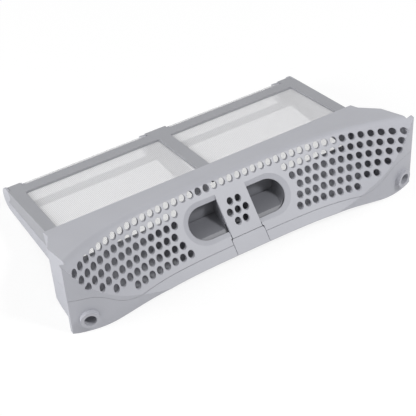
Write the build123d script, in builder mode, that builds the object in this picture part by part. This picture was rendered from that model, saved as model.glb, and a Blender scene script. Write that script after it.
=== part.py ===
from build123d import *
import math
import os

# A tumble dryer lint filter: two moulded half shells hinged along a rounded rear nose.
# It is drawn in its own frame first: X along the width, Y to the rear nose and
# Z square to the upper mesh, whose frame has its top at Z = 0. All lengths are in millimetres.

# Pouch, the flat box that holds the lint
pouch_half_width = 175.5
nose_y = 53.0
nose_radius = 13.3
belly_slope = 7.0
wall = 2.4
seam_gap = 0.3
part_clearance = 0.4

# Front housing behind the perforated face
roof_rear_y = -54.0
roof_rear_z = 3.0
roof_slope = 9.5
neck_half_width = 179.0
neck_front_y = -66.0
ear_half_width = 190.0
ear_rear_y = -91.0
ear_foot_z = -57.0
foot_slope = 14.0
lip_half_width = 195.5
lip_thickness = 4.5
front_flat_y = -147.0
front_flat_half = 150.0
front_setback = 10.0
front_lean = 9.0
foot_rear_y = -61.5
sole_z = -56.3
sole_flat_half = 92.0
sole_low_half = 176.0
corner_drop = 10.1

# Perforated face
face_slope = 56.0
face_reference_y = -93.7
face_reference_z = 3.5
bow_reach = 90.0
bow_quadratic = 1.1
bow_quartic = 2.32
crest_radius = 7.0

# Round holes in staggered rows
hole_pitch = 9.0
hole_row_drop = 8.6
hole_radius = 3.4
hole_depth = 7.0

# Parting line between the two halves
seam_nose_z = -15.5
seam_slope = 3.06
seam_dip = 22.0
seam_flat_half = 130.0
seam_high_half = 182.0
seam_rear_y = -74.0

# Upper frame and its two mesh windows
window_inner_x = 7.0
window_outer_rear_x = 161.5
window_outer_front_x = 163.5
window_front_y = -53.0
window_rear_y = 33.5
window_corner = 2.0
frame_tongue = 12.0
mesh_thickness = 0.6
mesh_margin = 3.0

# Hinge along the nose
hinge_y = 53.0
knuckle_radius = 6.0
end_disc_radius = 8.1
end_tab_length = 14.0
middle_tab_length = 24.0
tab_reach = 13.0
tab_side_gap = 0.4
lug_radius = 4.2
lug_thickness = 3.6
pin_radius = 2.0
pin_slip = 0.08
pin_seat = 0.02
pin_overhang = 2.0
pin_skin = 1.0
pin_end_gap = 0.1
pin_chamfer = 0.3
bar_rib_depth = 9.0
bar_rib_width = 2.4

# Windows of the lower shell
belly_window_inner_x = 10.0
belly_window_outer_x = 164.0
belly_window_front_y = -58.0
belly_window_rear_y = 42.0
nose_window_front_y = 51.3
nose_mesh_low = -112.0
nose_mesh_high = 125.0
rail_low = 112.0
rail_high = 140.0

# Finger grip
grip_half_length = 53.4
grip_half_height = 14.0
grip_row = 3.95
bridge_half_width = 17.0
bevel_width = 4.6
bevel_depth = 2.0
cup_back_y = -86.0
cup_wall = 2.0
cup_margin = 0.6
ramp_rear_z = -28.8
ramp_slope = 12.5
divider_half_width = 13.0
divider_draft = 0.14
divider_wall = 1.6
foot_slot_width = 0.7
foot_slot_height = 3.0
floor_gap = 2.6
floor_gap_top = -30.5
groove_half = 48.0
groove_width = 1.6
groove_depth = 2.5

# Latch under the bridge
latch_half_width = 18.4
latch_gap = 0.4
latch_corner = 2.2
latch_top_z = -42.6
latch_ledge_depth = 0.9
latch_pass_gap = 0.15
latch_stem_gap = 1.2
latch_ledge_height = 1.4
latch_stem = 2.0
latch_half_stem = 9.0
latch_play = 0.35
latch_pivot_radius = 2.2
latch_web = 3.5
latch_pin_radius = 1.1
latch_pin_height = 6.1
latch_pin_inset = 2.6
latch_lug = 3.0

# Tubular bosses in the two lower corners
boss_foot_x = 179.0
boss_foot_z = -50.1
boss_stand_out = 4.5
boss_radius = 9.3
boss_bore_radius = 6.0
boss_length = 30.0
boss_bore_depth = 26.0

# Values that follow from the ones above
slope = math.radians(face_slope)
face_tan = math.tan(slope)
belly = math.radians(belly_slope)
lean = math.tan(math.radians(front_lean))
seam_rise = math.tan(math.radians(seam_slope))
nose_z = -nose_radius
hinge_z = -knuckle_radius
front_radius = ((lip_half_width - front_flat_half) ** 2 + front_setback ** 2) / (2 * front_setback)
spare = 10.0
high = 45.0
deep = -95.0
far_front_y = front_flat_y - front_setback - 2 * spare
far_rear_y = nose_y + nose_radius + 4 * spare
far_side_x = lip_half_width + spare
grip_z = face_reference_z - (grip_row - 1) * hole_row_drop
end_tab_x = pouch_half_width - wall - tab_side_gap - end_tab_length / 2
tabs = [(-end_tab_x, end_tab_length), (0.0, middle_tab_length), (end_tab_x, end_tab_length)]
face_depth = wall / math.sin(slope)
latch_pin_z = sole_z + latch_pin_height
cup_length = 2 * (grip_half_length + cup_margin)
cup_height = 2 * (grip_half_height + cup_margin)
frame_front_y = roof_rear_y - frame_tongue
skirt_rear_y = hinge_y - pin_radius
lug_inner_x = middle_tab_length / 2 + tab_side_gap
lug_outer_x = end_tab_x - end_tab_length / 2 - tab_side_gap
nose_near_x = lug_inner_x + lug_thickness
nose_far_x = lug_outer_x - lug_thickness
bar_rear_y = hinge_y - math.sqrt(knuckle_radius**2 - (knuckle_radius - wall) ** 2)


def bow(x):
    # Forward bulge of the face away from its middle, which makes its plan concave
    reach = x / bow_reach
    return bow_quadratic * reach**2 + bow_quartic * reach**4


def face_y(x, z):
    return face_reference_y - (face_reference_z - z) / face_tan - bow(x)


def behind_face(depth, z):
    # A point of the middle plane, measured level to the rear from the outside of the face
    return (face_y(0, z) + depth, z)


def roof_z(y):
    return roof_rear_z + (roof_rear_y - y) * math.tan(math.radians(roof_slope))


def belly_z(y, inset):
    # Underside of the pouch, a line that touches the nose circle
    touch_y = nose_y + (nose_radius - inset) * math.sin(belly)
    touch_z = nose_z - (nose_radius - inset) * math.cos(belly)
    return touch_z - (touch_y - y) * math.tan(belly)


def foot_z(y):
    # Underside of the front housing ahead of the ears
    return ear_foot_z - (ear_rear_y - y) * math.tan(math.radians(foot_slope))


def seam_z(y):
    return seam_nose_z - (nose_y - y) * seam_rise


def front_y(x, inset):
    # Plan of the nearly upright front ends: flat, then an arc that falls back
    if x <= front_flat_half:
        return front_flat_y + inset
    return front_flat_y + inset + front_radius - math.sqrt(front_radius**2 - (x - front_flat_half) ** 2)


def mirrored(points):
    return [(-x, y) for x, y in reversed(points)]


def box_between(low, high_corner):
    # A block between two opposite corners
    with BuildPart() as block:
        with Locations(tuple((a + b) / 2 for a, b in zip(low, high_corner))):
            Box(*(b - a for a, b in zip(low, high_corner)))
    return block.part


def rod(y, z, radius, x_start, length):
    # A round rod along X
    with BuildPart() as bar:
        with BuildSketch(Plane.YZ.offset(x_start)):
            with Locations((y, z)):
                Circle(radius)
        extrude(amount=length)
    return bar.part


def pouch_block(inset, front):
    # Solid of the pouch, shrunk by inset: flat top, round nose and sloping belly
    half = pouch_half_width - inset
    radius = nose_radius - inset
    touch = (nose_y + radius * math.sin(belly), nose_z - radius * math.cos(belly))
    with BuildPart() as block:
        with BuildSketch(Plane.YZ.offset(-half)):
            with BuildLine():
                Line((front, nose_z + radius), (nose_y, nose_z + radius))
                ThreePointArc((nose_y, nose_z + radius), (nose_y + radius, nose_z), touch)
                Polyline(touch, (front, belly_z(front, inset)), (front, nose_z + radius))
            make_face()
        extrude(amount=2 * half)
    return block.part


def housing_block(inset):
    # Solid of the front housing, shrunk by inset: the common part of four prisms
    side = ear_half_width - inset
    neck = neck_half_width - inset
    down = (0, -math.cos(slope), -math.sin(slope))
    shift = -lean * high
    end = lip_half_width if inset == 0 else side
    face_xs = [(end + spare) * step / 4 for step in range(-4, 5)]
    face_line = [(x, face_y(x, high) + inset / math.sin(slope)) for x in face_xs]
    front = [(end, front_y(end, inset) + shift)]
    if inset == 0:
        lip_back = front_y(end, inset) + lip_thickness + shift
        front += [(end, lip_back), (side, lip_back)]
    front += [(side, ear_rear_y + shift), (neck, neck_front_y + shift), (neck, 0)]
    flat = front_y(0, inset) + shift
    with BuildPart() as block:
        with BuildSketch(Plane.XY.offset(high)):
            with BuildLine():
                Spline(*face_line)
                Polyline(face_line[-1], (face_xs[-1], far_rear_y), (face_xs[0], far_rear_y), face_line[0])
            make_face()
        extrude(amount=(high - deep) / math.sin(slope), dir=down)
        with BuildSketch(Plane.YZ.offset(-far_side_x)):
            with BuildLine():
                rear = roof_rear_y - inset
                Polyline(
                    (rear, roof_z(rear) - inset),
                    (far_front_y, roof_z(far_front_y) - inset),
                    (far_front_y, foot_z(far_front_y) + inset),
                    (ear_rear_y, ear_foot_z + inset),
                    (foot_rear_y, belly_z(foot_rear_y, inset)),
                    (rear, belly_z(rear, inset)),
                    close=True,
                )
            make_face()
        extrude(amount=2 * far_side_x, mode=Mode.INTERSECT)
        if inset == 0:
            crest = block.edges().filter_by(GeomType.BSPLINE).sort_by(Axis.Z)[-1]
            fillet(crest, radius=crest_radius)
        with BuildSketch(Plane.XY.offset(high)):
            with BuildLine():
                Line((-front_flat_half, flat), (front_flat_half, flat))
                TangentArc((front_flat_half, flat), front[0], tangent=(1, 0))
                Polyline(*front, *mirrored(front))
                TangentArc((-front_flat_half, flat), (-front[0][0], front[0][1]), tangent=(-1, 0))
            make_face()
        extrude(amount=(high - deep) * math.hypot(1, lean), dir=(0, lean, -1), mode=Mode.INTERSECT)
        with BuildSketch(Plane.XZ):
            with BuildLine():
                sole = sole_z + inset
                low = sole - corner_drop
                Line((-sole_flat_half, sole), (sole_flat_half, sole))
                for direction in (-1, 1):
                    bend = (direction * sole_flat_half, sole)
                    level = (direction * sole_low_half, low)
                    Spline(bend, level, tangents=((direction, 0), (direction, 0)))
                Polyline(
                    (sole_low_half, low),
                    (far_side_x, low),
                    (far_side_x, high),
                    (-far_side_x, high),
                    (-far_side_x, low),
                    (-sole_low_half, low),
                )
            make_face()
        extrude(amount=-far_front_y, mode=Mode.INTERSECT)
    return block.part


def upper_zone(drop):
    # Everything above the parting line: a sloping plane with a dip across the face
    with BuildPart() as zone:
        with BuildSketch(Plane.YZ.offset(-far_side_x)):
            with BuildLine():
                Polyline(
                    (far_front_y, seam_z(far_front_y) - drop),
                    (far_rear_y, seam_z(far_rear_y) - drop),
                    (far_rear_y, high),
                    (far_front_y, high),
                    close=True,
                )
            make_face()
        extrude(amount=2 * far_side_x)
        ridge = seam_z(seam_rear_y) - drop
        valley = ridge - seam_dip
        with BuildSketch(Plane.XZ.offset(-seam_rear_y)):
            with BuildLine():
                Line((-seam_flat_half, valley), (seam_flat_half, valley))
                for side in (-1, 1):
                    foot = (side * seam_flat_half, valley)
                    head = (side * seam_high_half, ridge)
                    Spline(foot, head, tangents=((side, 0), (side, 0)))
                Polyline(
                    (seam_high_half, ridge),
                    (seam_high_half, high),
                    (-seam_high_half, high),
                    (-seam_high_half, ridge),
                )
            make_face()
        extrude(amount=(seam_rear_y - far_front_y) * math.hypot(1, seam_rise), dir=(0, -1, -seam_rise))
    return zone.part


def hole_places():
    # Staggered holes as X and Z: six full rows and a flower of seven on the bridge
    rows = [(1, 0.5, 20.5), (2, 7.0, 20.0), (3, 7.5, 19.5), (4, 8.0, 18.0), (5, 7.5, 16.5), (6, 7.0, 14.0)]
    flower = [(3, 0.5), (4, 0.0), (4, 1.0), (5, 0.5)]
    places = []
    for row, first, last in rows:
        for step in range(int(last - first) + 1):
            places.append((row, first + step))
    places += flower
    holes = []
    for row, column in places:
        z = face_reference_z - (row - 1) * hole_row_drop
        for side in ({-1, 1} if column else {1}):
            holes.append((side * column * hole_pitch, z))
    return holes


def window_outline(side, margin):
    # Window of the upper frame, a little wider at the front
    inner = side * (window_inner_x - margin)
    return [
        (inner, window_front_y - margin),
        (side * (window_outer_front_x + margin), window_front_y - margin),
        (side * (window_outer_rear_x + margin), window_rear_y + margin),
        (inner, window_rear_y + margin),
    ]


def upper_mesh(side):
    # Mesh sheet against the underside of the frame's plate
    with BuildPart() as sheet:
        with BuildSketch(Plane.XY.offset(-wall)):
            with BuildLine():
                Polyline(*window_outline(side, mesh_margin), close=True)
            make_face()
        extrude(amount=-mesh_thickness)
    return sheet


def belly_mesh(side):
    # Mesh sheet on the inside of the sloping belly
    near = belly_window_inner_x - mesh_margin
    far = belly_window_outer_x + mesh_margin
    front = belly_window_front_y - mesh_margin
    rear = belly_window_rear_y + mesh_margin
    with BuildPart() as sheet:
        with BuildSketch(Plane.YZ.offset(near if side > 0 else -far)):
            with BuildLine():
                Polyline(
                    (front, belly_z(front, wall)),
                    (rear, belly_z(rear, wall)),
                    (rear, belly_z(rear, wall + mesh_thickness)),
                    (front, belly_z(front, wall + mesh_thickness)),
                    close=True,
                )
            make_face()
        extrude(amount=far - near)
    return sheet


def nose_band(side, outer_radius, thickness, low, high):
    # Curved strip about the centre of the nose, between two angles and between the lugs
    with BuildPart() as band:
        with BuildSketch(Plane.YZ.offset(nose_near_x if side > 0 else -nose_far_x)):
            with BuildLine():
                outside = CenterArc((nose_y, nose_z), outer_radius, low, high - low)
                inside = CenterArc((nose_y, nose_z), outer_radius - thickness, low, high - low)
                Line(outside @ 0, inside @ 0)
                Line(outside @ 1, inside @ 1)
            make_face()
        extrude(amount=nose_far_x - nose_near_x)
    return band


def end_discs(radius, gap):
    # Discs about the hinge axis in both side walls, where the two halves pass each other
    with BuildPart() as discs:
        inner = pouch_half_width - wall - gap
        add(rod(hinge_y, hinge_z, radius, inner, lip_half_width - inner))
        add(rod(hinge_y, hinge_z, radius, -lip_half_width, lip_half_width - inner))
    return discs.part


def boss_plane(side):
    # Mouth of a corner boss, which stands square to the curved front end
    reach = boss_foot_x - front_flat_half
    fall = reach / math.sqrt(front_radius**2 - reach**2)
    outward = Vector(side * fall, -1, -lean).normalized()
    foot = Vector(side * boss_foot_x, front_y(boss_foot_x, 0) - lean * boss_foot_z, boss_foot_z)
    return Plane(origin=foot + outward * boss_stand_out, x_dir=(0, 0, 1), z_dir=outward)


def divider_block(rear_half, low, top):
    # Block in plan wider to the front, used for the divider between the finger pockets
    front_half = rear_half + divider_draft * (cup_back_y + spare - far_front_y)
    with BuildPart() as block:
        with BuildSketch(Plane.XY.offset(low)):
            with BuildLine():
                Polyline(
                    (-rear_half, cup_back_y + spare),
                    (rear_half, cup_back_y + spare),
                    (front_half, far_front_y),
                    (-front_half, far_front_y),
                    close=True,
                )
            make_face()
        extrude(amount=top - low)
    return block.part


def hinge_pin(start, length):
    with BuildPart() as pin:
        add(rod(hinge_y, hinge_z, pin_radius, start, length))
        chamfer(pin.edges(), length=pin_chamfer)
    return pin


outer_pouch = pouch_block(0, seam_rear_y)
inner_pouch = pouch_block(wall, seam_rear_y - 1)
loose_pouch = pouch_block(-part_clearance, seam_rear_y)
outer_housing = housing_block(0)
inner_housing = housing_block(wall)
slant = 1 / math.sin(slope)
face_plane = Plane(
    origin=(0, face_y(0, grip_z), grip_z),
    x_dir=(1, 0, 0),
    z_dir=(0, -math.sin(slope), math.cos(slope)),
)

# Finger grip opening: a slot with a bevelled rim, left whole at the bridge
with BuildPart() as grip_opening:
    with BuildSketch(face_plane.offset(-bevel_depth)):
        SlotOverall(2 * grip_half_length, 2 * grip_half_height * slant)
    extrude(amount=bevel_depth + spare / 2, taper=-math.degrees(math.atan(bevel_width / bevel_depth)))
    with BuildSketch(face_plane.offset(-bevel_depth - 2 * wall)):
        SlotOverall(2 * grip_half_length, 2 * grip_half_height * slant)
    extrude(amount=bevel_depth + 2 * wall)
    add(
        box_between((-bridge_half_width, far_front_y, deep), (bridge_half_width, 0, high)),
        mode=Mode.SUBTRACT,
    )

# Front grille: roof, perforated face and ears above the parting line
slot_half = latch_half_width + latch_gap
notch_top = latch_top_z + latch_gap
with BuildPart() as front_grille:
    add(outer_housing)
    add(inner_housing, mode=Mode.SUBTRACT)
    add(loose_pouch, mode=Mode.SUBTRACT)
    add(upper_zone(0), mode=Mode.INTERSECT)
    with Locations(*[(x, face_y(x, z), z) for x, z in hole_places()]):
        Cylinder(hole_radius, 2 * hole_depth, rotation=(90, 0, 0), mode=Mode.SUBTRACT)
    add(grip_opening.part, mode=Mode.SUBTRACT)
    add(
        box_between((-slot_half, far_front_y, deep), (slot_half, ear_rear_y, notch_top)),
        mode=Mode.SUBTRACT,
    )
    for side in (-1, 1):
        near, far = sorted((side * bridge_half_width, side * (bridge_half_width + foot_slot_width)))
        add(
            box_between((near, far_front_y, deep), (far, ear_rear_y, notch_top + foot_slot_height)),
            mode=Mode.SUBTRACT,
        )
    with BuildSketch(Plane.YZ.offset(-latch_half_stem - 2)):
        with BuildLine():
            ledge_bottom = notch_top
            ledge_top = ledge_bottom + latch_ledge_height
            Polyline(
                behind_face(face_depth / 2, ledge_bottom),
                behind_face(face_depth + latch_ledge_depth, ledge_bottom),
                behind_face(face_depth + latch_ledge_depth, ledge_top),
                behind_face(face_depth / 2, ledge_top),
                close=True,
            )
        make_face()
    extrude(amount=2 * latch_half_stem + 4)

# Hollow of the finger pockets: above a sloping floor, on both sides of the divider
with BuildPart() as pocket_hollow:
    with BuildSketch(Plane.XZ.offset(cup_wall - cup_back_y)):
        with Locations((0, grip_z)):
            SlotOverall(cup_length, cup_height)
    extrude(amount=cup_back_y - far_front_y)
    with BuildSketch(Plane.YZ.offset(-far_side_x)):
        with BuildLine():
            ramp_drop = (cup_back_y - far_front_y) * math.tan(math.radians(ramp_slope))
            Polyline(
                (cup_back_y, ramp_rear_z),
                (cup_back_y, high),
                (far_front_y, high),
                (far_front_y, ramp_rear_z - ramp_drop),
                close=True,
            )
        make_face()
    extrude(amount=2 * far_side_x, mode=Mode.INTERSECT)
    add(
        box_between(
            (-groove_half, cup_back_y - cup_wall - groove_width, ramp_rear_z - groove_depth),
            (groove_half, cup_back_y - cup_wall, ramp_rear_z),
        )
    )
    add(divider_block(divider_half_width, deep, high), mode=Mode.SUBTRACT)
    with BuildSketch(Plane.YZ.offset(-grip_half_length)):
        with BuildLine():
            Polyline(
                behind_face(0, floor_gap_top),
                behind_face(face_depth + floor_gap, floor_gap_top),
                behind_face(face_depth + floor_gap, sole_z),
                behind_face(0, sole_z),
                close=True,
            )
        make_face()
    extrude(amount=2 * grip_half_length)

# Grip cup: a blind slot behind the opening, its divider hollow and open to the rear
with BuildPart() as grip_cup:
    with BuildSketch(Plane.XZ.offset(-cup_back_y)):
        with Locations((0, grip_z)):
            SlotOverall(cup_length + 2 * cup_wall, cup_height + 2 * cup_wall)
    extrude(amount=cup_back_y - far_front_y)
    add(inner_housing, mode=Mode.INTERSECT)
    add(pocket_hollow.part, mode=Mode.SUBTRACT)
    core_top = grip_z + cup_height / 2
    add(
        divider_block(divider_half_width - divider_wall, core_top - cup_height, core_top),
        mode=Mode.SUBTRACT,
    )

# Upper frame: plate with two windows, side skirts and three hinge tabs
with BuildPart() as upper_frame:
    add(pouch_block(0, frame_front_y))
    add(pouch_block(wall, frame_front_y - 1), mode=Mode.SUBTRACT)
    add(upper_zone(0), mode=Mode.INTERSECT)
    add(end_discs(end_disc_radius + seam_gap, tab_side_gap), mode=Mode.SUBTRACT)
    add(
        box_between((-ear_half_width, skirt_rear_y, deep), (ear_half_width, far_rear_y, high)),
        mode=Mode.SUBTRACT,
    )
    inner_half = pouch_half_width - wall
    add(
        box_between((-inner_half, bar_rear_y, deep), (inner_half, far_rear_y, high)),
        mode=Mode.SUBTRACT,
    )
    add(
        box_between(
            (-bar_rib_width / 2, frame_front_y, -wall - bar_rib_depth),
            (bar_rib_width / 2, window_rear_y + bar_rib_width, -wall / 2),
        )
    )
    for middle, length in tabs:
        with BuildSketch(Plane.YZ.offset(middle - length / 2)):
            with Locations((hinge_y, hinge_z)):
                Circle(knuckle_radius)
            with Locations((hinge_y - tab_reach / 2, hinge_z / 2)):
                Rectangle(tab_reach, knuckle_radius)
        extrude(amount=length)
    with BuildSketch(Plane.XY.offset(wall)) as openings:
        for side in (-1, 1):
            with BuildLine():
                Polyline(*window_outline(side, 0), close=True)
            make_face()
        fillet(openings.vertices(), radius=window_corner)
    extrude(amount=-3 * wall, mode=Mode.SUBTRACT)
    add(
        rod(hinge_y, hinge_z, pin_radius + pin_slip, -pouch_half_width, 2 * pouch_half_width),
        mode=Mode.SUBTRACT,
    )

# Lower shell: belly, nose, side walls and the front bezel with its two bosses
latch_pin_y = behind_face(face_depth + latch_pin_inset, latch_pin_z)[0]
with BuildPart() as below_seam:
    add(upper_zone(seam_gap))
    add(end_discs(end_disc_radius, 0), mode=Mode.SUBTRACT)
    add(
        box_between(
            (-lip_half_width, skirt_rear_y + seam_gap, deep),
            (lip_half_width, far_rear_y + spare, high + spare),
        ),
        mode=Mode.SUBTRACT,
    )
with BuildPart() as lower_shell:
    add(outer_pouch)
    add(outer_housing)
    add(inner_pouch, mode=Mode.SUBTRACT)
    add(inner_housing, mode=Mode.SUBTRACT)
    for side in (-1, 1):
        ear_start = side * (latch_half_width + latch_gap + latch_lug / 2) - latch_lug / 2
        with BuildSketch(Plane.YZ.offset(ear_start)):
            with Locations((latch_pin_y, latch_pin_z)):
                Circle(2 * latch_pivot_radius)
            with Locations((latch_pin_y, (latch_pin_z + sole_z + wall / 2) / 2)):
                Rectangle(4 * latch_pivot_radius, latch_pin_height - wall / 2)
        extrude(amount=latch_lug)
    add(below_seam.part, mode=Mode.SUBTRACT)
    add(
        box_between(
            (-latch_half_width - latch_gap, far_front_y, deep),
            (latch_half_width + latch_gap, latch_pin_y + latch_gap, latch_top_z),
        ),
        mode=Mode.SUBTRACT,
    )
    add(
        rod(
            latch_pin_y,
            latch_pin_z,
            latch_pin_radius + pin_seat,
            -latch_half_width - latch_gap - latch_lug,
            2 * (latch_half_width + latch_gap + latch_lug),
        ),
        mode=Mode.SUBTRACT,
    )
    for middle, length in tabs:
        reach = length / 2 + tab_side_gap
        add(
            box_between(
                (middle - reach, hinge_y - tab_reach - part_clearance, hinge_z - part_clearance),
                (middle + reach, far_rear_y, high),
            ),
            mode=Mode.SUBTRACT,
        )
        add(
            rod(hinge_y, hinge_z, knuckle_radius + part_clearance, middle - reach, 2 * reach),
            mode=Mode.SUBTRACT,
        )
    add(
        box_between((-nose_far_x, nose_window_front_y, deep), (-nose_near_x, far_rear_y, high)),
        mode=Mode.SUBTRACT,
    )
    add(
        box_between((nose_near_x, nose_window_front_y, deep), (nose_far_x, far_rear_y, high)),
        mode=Mode.SUBTRACT,
    )
    rail_radius = nose_radius - wall - mesh_thickness
    for side in (-1, 1):
        add(nose_band(side, rail_radius, wall, rail_low, rail_high).part)
        for near in (lug_inner_x, nose_far_x):
            start = near if side > 0 else -near - lug_thickness
            add(
                box_between(
                    (start, skirt_rear_y, hinge_z),
                    (start + lug_thickness, far_rear_y, high),
                ),
                mode=Mode.SUBTRACT,
            )
            with BuildPart(mode=Mode.PRIVATE) as lug:
                add(rod(hinge_y, hinge_z, lug_radius, start, lug_thickness))
                front = hinge_y - lug_radius
                add(box_between((start, front, deep), (start + lug_thickness, far_rear_y, hinge_z)))
                add(outer_pouch, mode=Mode.INTERSECT)
            add(lug.part)
    bearing_end = pouch_half_width - pin_skin
    add(
        rod(hinge_y, hinge_z, pin_radius + pin_seat, -bearing_end, 2 * bearing_end),
        mode=Mode.SUBTRACT,
    )
    with BuildSketch(Plane.XY.offset(seam_nose_z)) as openings:
        for side in (-1, 1):
            middle_x = side * (belly_window_inner_x + belly_window_outer_x) / 2
            with Locations((middle_x, (belly_window_front_y + belly_window_rear_y) / 2)):
                RectangleRounded(
                    belly_window_outer_x - belly_window_inner_x,
                    belly_window_rear_y - belly_window_front_y,
                    window_corner,
                )
    extrude(amount=seam_nose_z - deep, dir=(0, 0, -1), mode=Mode.SUBTRACT)
    for side in (-1, 1):
        with BuildSketch(boss_plane(side)):
            Circle(boss_radius)
        extrude(amount=-boss_length)
        with BuildSketch(boss_plane(side)):
            Circle(boss_bore_radius)
        extrude(amount=-boss_bore_depth, mode=Mode.SUBTRACT)

# Latch: tongue flush with the face, a hooked stem behind it and a pivot barrel
with BuildPart() as latch_hook:
    add(outer_housing)
    add(inner_housing, mode=Mode.SUBTRACT)
    with BuildSketch(Plane.XZ.offset(-latch_pin_y)):
        with Locations((0, (latch_top_z + deep) / 2)):
            RectangleRounded(2 * latch_half_width, latch_top_z - deep, latch_corner)
    extrude(amount=latch_pin_y - far_front_y, mode=Mode.INTERSECT)
    with BuildSketch(Plane.YZ.offset(-latch_half_width)):
        with Locations((latch_pin_y, latch_pin_z)):
            Circle(latch_pivot_radius)
        with Locations((latch_pin_y - latch_pin_inset / 2 - face_depth / 4, latch_pin_z)):
            Rectangle(latch_pin_inset + face_depth / 2, latch_web)
    extrude(amount=2 * latch_half_width)
    with BuildSketch(Plane.YZ.offset(-latch_half_stem)):
        with BuildLine():
            stem_front = face_depth + latch_ledge_depth + latch_stem_gap
            stem_rear = stem_front + latch_stem
            foot_top = latch_top_z - latch_play
            foot_bottom = foot_top - latch_pivot_radius
            lip_bottom = latch_top_z + latch_gap + latch_ledge_height + latch_play
            lip_top = lip_bottom + latch_ledge_height
            lip_front = face_depth + latch_ledge_depth + latch_pass_gap
            Polyline(
                behind_face(face_depth / 2, foot_bottom),
                behind_face(stem_rear, foot_bottom),
                behind_face(stem_rear, lip_top),
                behind_face(lip_front, lip_top),
                behind_face(lip_front, lip_bottom),
                behind_face(stem_front, lip_bottom),
                behind_face(stem_front, foot_top),
                behind_face(face_depth / 2, foot_top),
                close=True,
            )
        make_face()
    extrude(amount=2 * latch_half_stem)
    add(
        rod(latch_pin_y, latch_pin_z, latch_pin_radius + pin_slip, -latch_half_width, 2 * latch_half_width),
        mode=Mode.SUBTRACT,
    )

with BuildPart() as latch_pin:
    pin_half = latch_half_width + latch_gap + latch_lug
    add(rod(latch_pin_y, latch_pin_z, latch_pin_radius, -pin_half, 2 * pin_half))

# Hinge pins: one through each tab, seated in the lugs beside it and in the side walls
end_pin_start = pouch_half_width - pin_skin - pin_end_gap
end_pin_length = end_pin_start - nose_far_x + pin_overhang
middle_pin_half = nose_near_x + pin_overhang
hinge_pin_left = hinge_pin(-end_pin_start, end_pin_length)
hinge_pin_right = hinge_pin(end_pin_start - end_pin_length, end_pin_length)
hinge_pin_middle = hinge_pin(-middle_pin_half, 2 * middle_pin_half)

upper_mesh_left = upper_mesh(-1)
upper_mesh_right = upper_mesh(1)
belly_mesh_left = belly_mesh(-1)
belly_mesh_right = belly_mesh(1)
nose_mesh_left = nose_band(-1, nose_radius - wall, mesh_thickness, nose_mesh_low, nose_mesh_high)
nose_mesh_right = nose_band(1, nose_radius - wall, mesh_thickness, nose_mesh_low, nose_mesh_high)

# The filter rests on its nose and on the lower corners of the bezel: turn it so that both touch
foot_tan = math.tan(math.radians(foot_slope))
corner_z = (ear_foot_z - (ear_rear_y - front_y(lip_half_width, 0)) * foot_tan) / (1 + lean * foot_tan)
corner_z = max(corner_z, sole_z - corner_drop)
corner_y = front_y(lip_half_width, 0) - lean * corner_z
span = math.hypot(nose_y - corner_y, nose_z - corner_z)
rest_angle = math.degrees(math.atan2(nose_z - corner_z, nose_y - corner_y) - math.asin(nose_radius / span))
turned = Location((0, 0, 0), (-rest_angle, 0, 0))

front_grille.part.label = "front_grille"
grip_cup.part.label = "grip_cup"
upper_frame.part.label = "upper_frame"
upper_mesh_left.part.label = "upper_mesh_left"
upper_mesh_right.part.label = "upper_mesh_right"
lower_shell.part.label = "lower_shell"
belly_mesh_left.part.label = "belly_mesh_left"
belly_mesh_right.part.label = "belly_mesh_right"
nose_mesh_left.part.label = "nose_mesh_left"
nose_mesh_right.part.label = "nose_mesh_right"
latch_hook.part.label = "latch_hook"
latch_pin.part.label = "latch_pin"
hinge_pin_left.part.label = "hinge_pin_left"
hinge_pin_middle.part.label = "hinge_pin_middle"
hinge_pin_right.part.label = "hinge_pin_right"
pieces = [
    front_grille,
    grip_cup,
    upper_frame,
    upper_mesh_left,
    upper_mesh_right,
    lower_shell,
    belly_mesh_left,
    belly_mesh_right,
    nose_mesh_left,
    nose_mesh_right,
    latch_hook,
    latch_pin,
    hinge_pin_left,
    hinge_pin_middle,
    hinge_pin_right,
]

# The row's origin lies in the middle of the footprint, on the surface it rests on
shells = [(turned * piece.part).bounding_box() for piece in (front_grille, lower_shell)]
middle_y = (min(box.min.Y for box in shells) + max(box.max.Y for box in shells)) / 2
bottom_z = min(box.min.Z for box in shells)
placed = Location((0, -middle_y, -bottom_z)) * turned
os.makedirs("parts", exist_ok=True)
for piece in pieces:
    label = piece.part.label
    resting = placed * piece.part
    resting.label = label
    export_step(resting, f"parts/{label}.step")

hinge_place = placed * Location((0, hinge_y, hinge_z))
latch_place = placed * Location((0, latch_pin_y, latch_pin_z))
boss_place = placed * boss_plane(1).location
boss_tip = placed * Location(boss_plane(1).origin + boss_plane(1).z_dir * spare)
print("rest angle", round(rest_angle, 3))
print("hinge axis at", hinge_place.position)
print("latch axis at", latch_place.position)
print("boss mouth at", boss_place.position)
print("boss facing", (boss_tip.position - boss_place.position) / spare)
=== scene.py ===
# %% [markdown]
# # A tumble dryer lint filter
# The filter is a flat clamshell of moulded polypropylene. Its front is a concave grille with 161 round
# holes and a two finger grip, and its upper half holds two windows of fine polyester cloth. The solids
# come finished from the CAD frame, so this lesson is about three things: a camera that stands where the
# photographer stood, plastics that show how they were moulded, and cloth that is made as thin woven sheets.

# %% Load the CAD frame
import math

import bpy
from mathutils import Matrix, Vector


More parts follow.
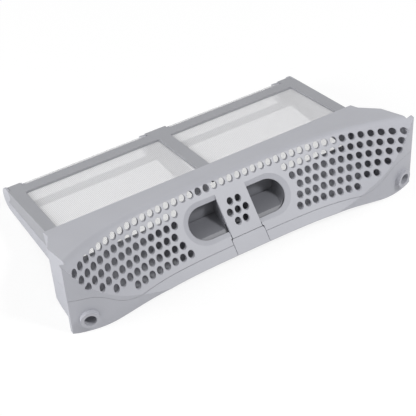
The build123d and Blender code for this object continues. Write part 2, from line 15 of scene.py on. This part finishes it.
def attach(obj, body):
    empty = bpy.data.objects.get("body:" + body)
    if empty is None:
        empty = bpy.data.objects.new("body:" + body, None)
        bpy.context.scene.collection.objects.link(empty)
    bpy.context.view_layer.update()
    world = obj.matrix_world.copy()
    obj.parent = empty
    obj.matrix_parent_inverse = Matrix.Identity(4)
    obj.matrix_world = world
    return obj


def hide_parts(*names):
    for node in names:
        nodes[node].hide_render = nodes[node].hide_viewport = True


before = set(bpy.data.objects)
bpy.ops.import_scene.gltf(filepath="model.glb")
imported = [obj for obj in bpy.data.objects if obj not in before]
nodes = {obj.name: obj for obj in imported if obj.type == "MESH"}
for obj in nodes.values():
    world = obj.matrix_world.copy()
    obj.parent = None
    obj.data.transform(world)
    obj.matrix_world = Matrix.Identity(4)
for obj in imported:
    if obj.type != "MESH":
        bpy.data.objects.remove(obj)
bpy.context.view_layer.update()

# %% [markdown]
# ## The mesh plane
# The filter was drawn flat, with its upper cloth level, and was then tilted about the X axis until it
# rested on its nose and on the corners of its front. Sizes are easier to think of in that flat drawing,
# in millimetres, so one function turns a point of the drawing into a place in the scene.

# %% From the flat drawing to the resting place
MILLIMETRE = 0.001
REST_ANGLE = math.radians(12.241)
REST_SHIFT = Vector((0.0, 43.6175, 37.6027))
tilt = Matrix.Rotation(-REST_ANGLE, 4, "X")


def resting(x, y, z):
    return (tilt @ Vector((x, y, z)) + REST_SHIFT) * MILLIMETRE


print("the middle of the cloth plane rests at", tuple(resting(0, 0, 0)))

# %% [markdown]
# ## Camera
# The camera was found from the photograph: the rows of holes are 9 mm apart, so their places in the
# picture give the distance, the direction and the lens. It looks down at 43 degrees from the left, with
# a long lens, and is rolled by less than two degrees.

# %% Camera
CAMERA_PLACE = Vector((-0.43572, -0.76788, 0.80454))
CAMERA_AIM = Vector((-0.00870, -0.02602, 0.01153))
CAMERA_ROLL = math.radians(1.869)
CAMERA_LENS = 99.88

bpy.ops.object.select_all(action="DESELECT")
bpy.ops.object.camera_add(location=CAMERA_PLACE)
camera = bpy.context.object
camera.name = "camera"
look = (CAMERA_AIM - CAMERA_PLACE).to_track_quat("-Z", "Y")
roll = Matrix.Rotation(-CAMERA_ROLL, 4, "Z")
camera.rotation_euler = (look.to_matrix().to_4x4() @ roll).to_euler()
camera.data.sensor_width = 36.0
camera.data.lens = CAMERA_LENS
camera.data.clip_end = 20.0
bpy.context.scene.camera = camera
print("the camera stands", round((CAMERA_AIM - CAMERA_PLACE).length, 3), "metres away")

# %% [markdown]
# ## Two helpers for materials
# Colours are written as the sRGB values that a screen shows, but shaders work in linear light, so one
# function turns the first into the second. A second one adds a node, sets what is set on it and links
# what comes into it, so each material below reads from top to bottom like a recipe.

# %% Colour and node helpers


def linear(code):
    values = [int(code[i : i + 2], 16) / 255 for i in (1, 3, 5)]
    straight = [v / 12.92 if v <= 0.04045 else ((v + 0.055) / 1.055) ** 2.4 for v in values]
    return (*straight, 1.0)


def add_node(material, kind, inputs, **settings):
    tree = material.node_tree
    node = tree.nodes.new(kind)
    for name, value in settings.items():
        setattr(node, name, value)
    for socket, value in inputs.items():
        if isinstance(value, bpy.types.NodeSocket):
            tree.links.new(value, node.inputs[socket])
        else:
            node.inputs[socket].default_value = value
    return node


def new_material(name):
    material = bpy.data.materials.new(name)
    material.use_nodes = True
    material.node_tree.nodes.clear()
    return material


print("a mid grey of #808080 is", round(linear("#808080")[0], 3), "in linear light")

# %% [markdown]
# ## Light and floor
# The photograph is a catalogue picture: white all round, with hardly a shadow. Inside the two finger
# pockets the shadows fall to the left and the rear, so the main light stands in front, to the right and
# high. The left wall is nearly as bright as the front, so a large pale light also stands to the left and
# a little behind. A white world fills what is left. The floor is white paper: what the camera sees of it
# is mostly its own white, and the rest is lit paper, which keeps a soft shadow under the filter.

# %% World
WORLD_FILL = 0.38
WORLD_SEEN = 1.0

bpy.context.scene.view_settings.view_transform = "Standard"
world = bpy.data.worlds.new("studio")
bpy.context.scene.world = world
world.use_nodes = True
world.node_tree.nodes.clear()
path = add_node(world, "ShaderNodeLightPath", {})
seen = path.outputs["Is Camera Ray"]
for ray in ("Is Glossy Ray", "Is Transmission Ray"):
    either = {0: seen, 1: path.outputs[ray]}
    seen = add_node(world, "ShaderNodeMath", either, operation="MAXIMUM").outputs[0]
fill = add_node(world, "ShaderNodeBackground", {"Color": linear("#FFFFFF"), "Strength": WORLD_FILL})
white = add_node(world, "ShaderNodeBackground", {"Color": linear("#FFFFFF"), "Strength": WORLD_SEEN})
both = add_node(world, "ShaderNodeMixShader", {0: seen, 1: fill.outputs[0], 2: white.outputs[0]})
add_node(world, "ShaderNodeOutputWorld", {"Surface": both.outputs[0]})
print("the world fills with a strength of", WORLD_FILL)

# %% Floor
FLOOR_SIZE = 12.0
FLOOR_GLOW = 1.06
FLOOR_GLOW_SHARE = 0.8

bpy.ops.object.select_all(action="DESELECT")
bpy.ops.mesh.primitive_plane_add(size=FLOOR_SIZE)
floor = bpy.context.object
floor.name = "floor"
paper = new_material("white paper sweep")
path = add_node(paper, "ShaderNodeLightPath", {})
parts = {0: path.outputs["Is Camera Ray"], 1: FLOOR_GLOW_SHARE}
share = add_node(paper, "ShaderNodeMath", parts, operation="MULTIPLY")
lit = add_node(paper, "ShaderNodeBsdfDiffuse", {"Color": linear("#F4F4F4")})
glow = add_node(paper, "ShaderNodeEmission", {"Color": linear("#FFFFFF"), "Strength": FLOOR_GLOW})
layers = {0: share.outputs[0], 1: lit.outputs[0], 2: glow.outputs[0]}
page = add_node(paper, "ShaderNodeMixShader", layers)
add_node(paper, "ShaderNodeOutputMaterial", {"Surface": page.outputs[0]})
floor.data.materials.append(paper)
print("the floor lies at z =", floor.location.z)

# %% Lamps
FILTER_MIDDLE = Vector((0.0, 0.0, 0.04))


def softbox(name, place, width, power):
    bpy.ops.object.select_all(action="DESELECT")
    bpy.ops.object.light_add(type="AREA", location=place)
    lamp = bpy.context.object
    lamp.name = name
    lamp.data.shape = "SQUARE"
    lamp.data.size = width
    lamp.data.energy = power
    lamp.rotation_euler = (FILTER_MIDDLE - Vector(place)).to_track_quat("-Z", "Y").to_euler()
    print(name, "is", width, "metres wide and gives", power, "watts")


softbox("front_right_softbox", (0.74, -1.06, 1.56), 0.35, 18.0)
softbox("left_rear_softbox", (-1.65, 0.35, 0.6), 1.0, 20.0)

# %% [markdown]
# ## Moulded polypropylene
# All the stiff parts are injection moulded polypropylene. It has an IOR of 1.49 and a satin skin, because
# the mould is spark eroded to a fine grain: the highlights are broad and soft, and edges are rounded by
# half a millimetre so that they catch a thin line of light. The real grain is near 0.2 mm and would not
# show, so it is drawn at 0.9 mm. Flow of the melt leaves patches a hair lighter or darker, some 35 mm
# wide.

# %% Moulded plastic
GRAIN_SIZE = 0.9 * MILLIMETRE
FLOW_SIZE = 35.0 * MILLIMETRE
EDGE_ROUND = 0.5 * MILLIMETRE
GRAIN_DEPTH = 0.08 * MILLIMETRE
GLOSS_SPREAD = 0.06
POLYPROPYLENE_IOR = 1.49


def moulded_plastic(name, colour, deeper, roughness):
    material = new_material(name)
    place = add_node(material, "ShaderNodeTexCoord", {}).outputs["Object"]
    patches = {"Vector": place, "Scale": 1 / FLOW_SIZE, "Detail": 3.0}
    flow = add_node(material, "ShaderNodeTexNoise", patches)
    tones = {"Factor": flow.outputs["Fac"], "A": linear(colour), "B": linear(deeper)}
    tone = add_node(material, "ShaderNodeMix", tones, data_type="RGBA")
    speckle = {"Vector": place, "Scale": 1 / GRAIN_SIZE, "Detail": 1.0}
    grain = add_node(material, "ShaderNodeTexNoise", speckle)
    limits = {"To Min": roughness - GLOSS_SPREAD, "To Max": roughness + GLOSS_SPREAD}
    gloss = add_node(material, "ShaderNodeMapRange", {"Value": grain.outputs["Fac"], **limits})
    edge = add_node(material, "ShaderNodeBevel", {"Radius": EDGE_ROUND}, samples=4)
    pits = {"Height": grain.outputs["Fac"], "Strength": 0.25, "Distance": GRAIN_DEPTH}
    bump = add_node(material, "ShaderNodeBump", {"Normal": edge.outputs[0], **pits})
    skin = add_node(
        material,
        "ShaderNodeBsdfPrincipled",
        {
            "Base Color": tone.outputs[2],
            "Roughness": gloss.outputs[0],
            "IOR": POLYPROPYLENE_IOR,
            "Normal": bump.outputs[0],
        },
    )
    add_node(material, "ShaderNodeOutputMaterial", {"Surface": skin.outputs[0]})
    return material


grille_plastic = moulded_plastic("light grey polypropylene", "#B9BAC1", "#B1B2B9", 0.42)
frame_plastic = moulded_plastic("mid grey polypropylene", "#A3A4A9", "#9C9DA2", 0.46)
# The grip cup's own plastic is close to the other greys. The darker grey given here is painted shade for
# the inside of the two finger pockets.
shaded_cup_plastic = moulded_plastic("grip cup polypropylene with painted pocket shade", "#808187", "#78797F", 0.38)


def coat(material, names):
    for name in names:
        nodes[name].data.materials.clear()
        nodes[name].data.materials.append(material)
    print(", ".join(names), "are made of", material.name)


coat(grille_plastic, ("front_grille", "lower_shell", "latch_hook"))
coat(frame_plastic, ("upper_frame",))
coat(shaded_cup_plastic, ("grip_cup",))

# %% [markdown]
# ## Drawn steel pins
# The hinge pins and the latch pin are cut from drawn stainless wire. Drawing leaves fine lines along the
# wire and a bright, slightly streaked finish, so the roughness changes round the pin and hardly along it.

# %% Drawn steel
WIRE_LINE = 0.3 * MILLIMETRE
steel = new_material("drawn stainless wire")
place = add_node(steel, "ShaderNodeTexCoord", {}).outputs["Object"]
along = add_node(steel, "ShaderNodeMapping", {"Vector": place, "Scale": (0.02, 1.0, 1.0)})
drawn = {"Vector": along.outputs[0], "Scale": 1 / WIRE_LINE, "Detail": 2.0}
lines = add_node(steel, "ShaderNodeTexNoise", drawn)
limits = {"Value": lines.outputs["Fac"], "To Min": 0.22, "To Max": 0.38}
streak = add_node(steel, "ShaderNodeMapRange", limits)
shine = add_node(
    steel,
    "ShaderNodeBsdfPrincipled",
    {"Base Color": linear("#B9BABD"), "Metallic": 1.0, "Roughness": streak.outputs[0]},
)
add_node(steel, "ShaderNodeOutputMaterial", {"Surface": shine.outputs[0]})
coat(steel, ("latch_pin", "hinge_pin_left", "hinge_pin_middle", "hinge_pin_right"))

# %% [markdown]
# ## Polyester monofilament cloth
# The windows are filled with a plain weave of clear white polyester threads. From a step away the upper
# cloth reads as a bright veil, with the bars of the lower shell showing faintly through it. The lower
# cloth is more open: through the top row of holes the white floor shows almost undimmed. The real
# threads are about 0.3 mm apart. They are drawn 1.7 mm apart, the closest spacing that still shows in
# the picture, as the faint beat that fine cloth gives a camera. Polyester has an IOR of 1.57. Two numbers
# say how much a layer of cloth covers: the first in the gaps of the weave, the second on its threads.

# %% Woven cloth material
THREAD_SPACING = 1.7 * MILLIMETRE
THREAD_HEIGHT = 0.1 * MILLIMETRE
CLOTH_COLOUR = "#F8F8FA"
POLYESTER_IOR = 1.57
BELLY_SLOPE = math.radians(7.0)
NOSE_Y = 53.0
NOSE_Z = -13.3
NOSE_CENTRE = resting(0.0, NOSE_Y, NOSE_Z)
NOSE_CLOTH_RADIUS = 10.6 * MILLIMETRE


def along_threads(material, turn):
    place = add_node(material, "ShaderNodeTexCoord", {}).outputs["Object"]
    flat = add_node(material, "ShaderNodeMapping", {"Vector": place, "Rotation": (turn, 0.0, 0.0)})
    axes = add_node(material, "ShaderNodeSeparateXYZ", {"Vector": flat.outputs[0]})
    return axes.outputs["X"], axes.outputs["Y"]


def along_nose_threads(material):
    place = add_node(material, "ShaderNodeTexCoord", {}).outputs["Object"]
    shift = {"Vector": place, "Location": tuple(-NOSE_CENTRE)}
    centred = add_node(material, "ShaderNodeMapping", shift)
    axes = add_node(material, "ShaderNodeSeparateXYZ", {"Vector": centred.outputs[0]})
    both = {0: axes.outputs["Z"], 1: axes.outputs["Y"]}
    angle = add_node(material, "ShaderNodeMath", both, operation="ARCTAN2")
    turned = {0: angle.outputs[0], 1: NOSE_CLOTH_RADIUS}
    arc = add_node(material, "ShaderNodeMath", turned, operation="MULTIPLY")
    return axes.outputs["X"], arc.outputs[0]


def woven_cloth(material, threads, least_cover, most_cover):
    waves = []
    for thread in threads:
        turns = {0: thread, 1: 2 * math.pi / THREAD_SPACING}
        angle = add_node(material, "ShaderNodeMath", turns, operation="MULTIPLY")
        wave = add_node(material, "ShaderNodeMath", {0: angle.outputs[0]}, operation="SINE")
        waves.append(wave.outputs[0])
    crossed = {0: waves[0], 1: waves[1]}
    top = add_node(material, "ShaderNodeMath", crossed, operation="MAXIMUM").outputs[0]
    limits = {"From Min": -0.1, "From Max": 0.5, "To Min": least_cover, "To Max": most_cover}
    cover = add_node(material, "ShaderNodeMapRange", {"Value": top, **limits})
    ridges = {"Height": top, "Strength": 0.3, "Distance": THREAD_HEIGHT}
    bump = add_node(material, "ShaderNodeBump", ridges)
    thread = add_node(
        material,
        "ShaderNodeBsdfPrincipled",
        {
            "Base Color": linear(CLOTH_COLOUR),
            "Roughness": 0.55,
            "IOR": POLYESTER_IOR,
            "Alpha": cover.outputs[0],
            "Normal": bump.outputs[0],
        },
    )
    add_node(material, "ShaderNodeOutputMaterial", {"Surface": thread.outputs[0]})
    print("a layer of", material.name, "covers", least_cover, "to", most_cover, "of what lies behind")


upper_cloth = new_material("white polyester cloth, fine")
woven_cloth(upper_cloth, along_threads(upper_cloth, REST_ANGLE), 0.36, 0.6)
belly_cloth = new_material("white polyester cloth, open")
woven_cloth(belly_cloth, along_threads(belly_cloth, REST_ANGLE - BELLY_SLOPE), 0.05, 0.18)
nose_cloth = new_material("white polyester cloth, round the nose")
woven_cloth(nose_cloth, along_nose_threads(nose_cloth), 0.12, 0.34)

# %% [markdown]
# ## Sheets of cloth for the four flat windows
# On the real filter the cloth is laid in the mould and the frame is moulded round its edge, so it is
# stretched like a drum skin and hangs in by no more than a third of a millimetre. Each sheet starts as a
# grid a little larger than its window. The middle is pulled down with proportional editing, which takes
# the neighbours along, and a Solidify modifier gives the threads their thickness. A window is written as
# its inner and outer side, its front and rear edge and its height, in millimetres of the flat drawing.

# %% The last steps for every sheet
CLOTH_THICKNESS = 0.15 * MILLIMETRE


def finish_cloth(piece, node, cloth):
    bpy.ops.object.modifier_add(type="SOLIDIFY")
    piece.modifiers[-1].thickness = CLOTH_THICKNESS
    piece.modifiers[-1].offset = 0.0
    bpy.ops.object.modifier_apply(modifier=piece.modifiers[-1].name)
    bpy.ops.object.transform_apply(location=True, rotation=True, scale=True)
    piece.data.materials.append(cloth)
    body = "lower"
    if node.startswith("upper"):
        body = "upper"
    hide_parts(node)
    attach(piece, body)


print("a sheet is", CLOTH_THICKNESS / MILLIMETRE, "mm thick")

# %% A stretched sheet
SHEET_SAG = 0.3 * MILLIMETRE
GRID_ACROSS = 64
GRID_ALONG = 36
PULLED_WIDTH = 0.3
PULLED_LENGTH = 0.05
PULL_REACH = 0.4


def stretched_sheet(node, inner_x, outer_x, front_y, rear_y, height, slope, cloth):
    width = (outer_x - inner_x) * MILLIMETRE
    length = (rear_y - front_y) / math.cos(slope) * MILLIMETRE
    side = -1 if node.endswith("left") else 1
    centre = resting(side * (inner_x + outer_x) / 2, (front_y + rear_y) / 2, height)
    bpy.ops.object.select_all(action="DESELECT")
    bpy.ops.mesh.primitive_grid_add(x_subdivisions=GRID_ACROSS, y_subdivisions=GRID_ALONG, size=1.0)
    piece = bpy.context.object
    piece.name = node + "_cloth"
    piece.scale = (width, length, 1.0)
    bpy.ops.object.transform_apply(location=False, rotation=False, scale=True)
    bpy.ops.object.mode_set(mode="EDIT")
    bpy.ops.mesh.select_mode(type="VERT")
    bpy.ops.mesh.select_all(action="DESELECT")
    bpy.ops.object.mode_set(mode="OBJECT")
    for point in piece.data.vertices:
        inside_x = abs(point.co.x) < PULLED_WIDTH * width
        inside_y = abs(point.co.y) < PULLED_LENGTH * length
        point.select = inside_x and inside_y
    bpy.ops.object.mode_set(mode="EDIT")
    bpy.ops.transform.translate(
        value=(0.0, 0.0, -SHEET_SAG),
        use_proportional_edit=True,
        proportional_edit_falloff="SMOOTH",
        proportional_size=PULL_REACH * length,
    )
    bpy.ops.object.mode_set(mode="OBJECT")
    piece.rotation_euler = (slope - REST_ANGLE, 0.0, 0.0)
    piece.location = centre
    finish_cloth(piece, node, cloth)
    print(piece.name, "measures", round(width, 4), "by", round(length, 4), "metres when flat")


UPPER_WINDOW = (4.4, 164.2, -55.6, 36.1, -2.6)
BELLY_WINDOW = (7.4, 166.6, -60.6, 44.6, -31.35)

for side in ("left", "right"):
    stretched_sheet("upper_mesh_" + side, *UPPER_WINDOW, 0.0, upper_cloth)
    stretched_sheet("belly_mesh_" + side, *BELLY_WINDOW, BELLY_SLOPE, belly_cloth)

# %% [markdown]
# ## Cloth round the nose
# Two more windows wrap the rounded nose, from just under it to its top. Their cloth follows the inside of
# the nose, so it starts as an open tube round the middle of the nose. The tube is cut open by deleting
# the faces that lie outside the window. They are picked by their angle in degrees, which is 0 towards
# the rear and 90 straight up in the flat drawing.

# %% Round sheets of cloth
NOSE_NEAR_X = 16.4
NOSE_FAR_X = 154.3
NOSE_LOW = -112.0
NOSE_HIGH = 125.0
TUBE_SIDES = 120


def nose_sheet(node):
    side = -1 if node.endswith("left") else 1
    width = (NOSE_FAR_X - NOSE_NEAR_X) * MILLIMETRE
    bpy.ops.object.select_all(action="DESELECT")
    bpy.ops.mesh.primitive_cylinder_add(
        vertices=TUBE_SIDES,
        radius=NOSE_CLOTH_RADIUS,
        depth=width,
        end_fill_type="NOTHING",
        location=resting(side * (NOSE_NEAR_X + NOSE_FAR_X) / 2, NOSE_Y, NOSE_Z),
        rotation=(0.0, math.radians(90.0), 0.0),
    )
    piece = bpy.context.object
    piece.name = node + "_cloth"
    bpy.ops.object.transform_apply(location=False, rotation=True, scale=False)
    bpy.ops.object.mode_set(mode="EDIT")
    bpy.ops.mesh.select_mode(type="FACE")
    bpy.ops.mesh.select_all(action="DESELECT")
    bpy.ops.object.mode_set(mode="OBJECT")
    for face in piece.data.polygons:
        angle = math.degrees(math.atan2(face.center.z, face.center.y) + REST_ANGLE)
        face.select = not NOSE_LOW < angle < NOSE_HIGH
    bpy.ops.object.mode_set(mode="EDIT")
    bpy.ops.mesh.delete(type="FACE")
    bpy.ops.object.mode_set(mode="OBJECT")
    finish_cloth(piece, node, nose_cloth)


for side in ("left", "right"):
    nose_sheet("nose_mesh_" + side)
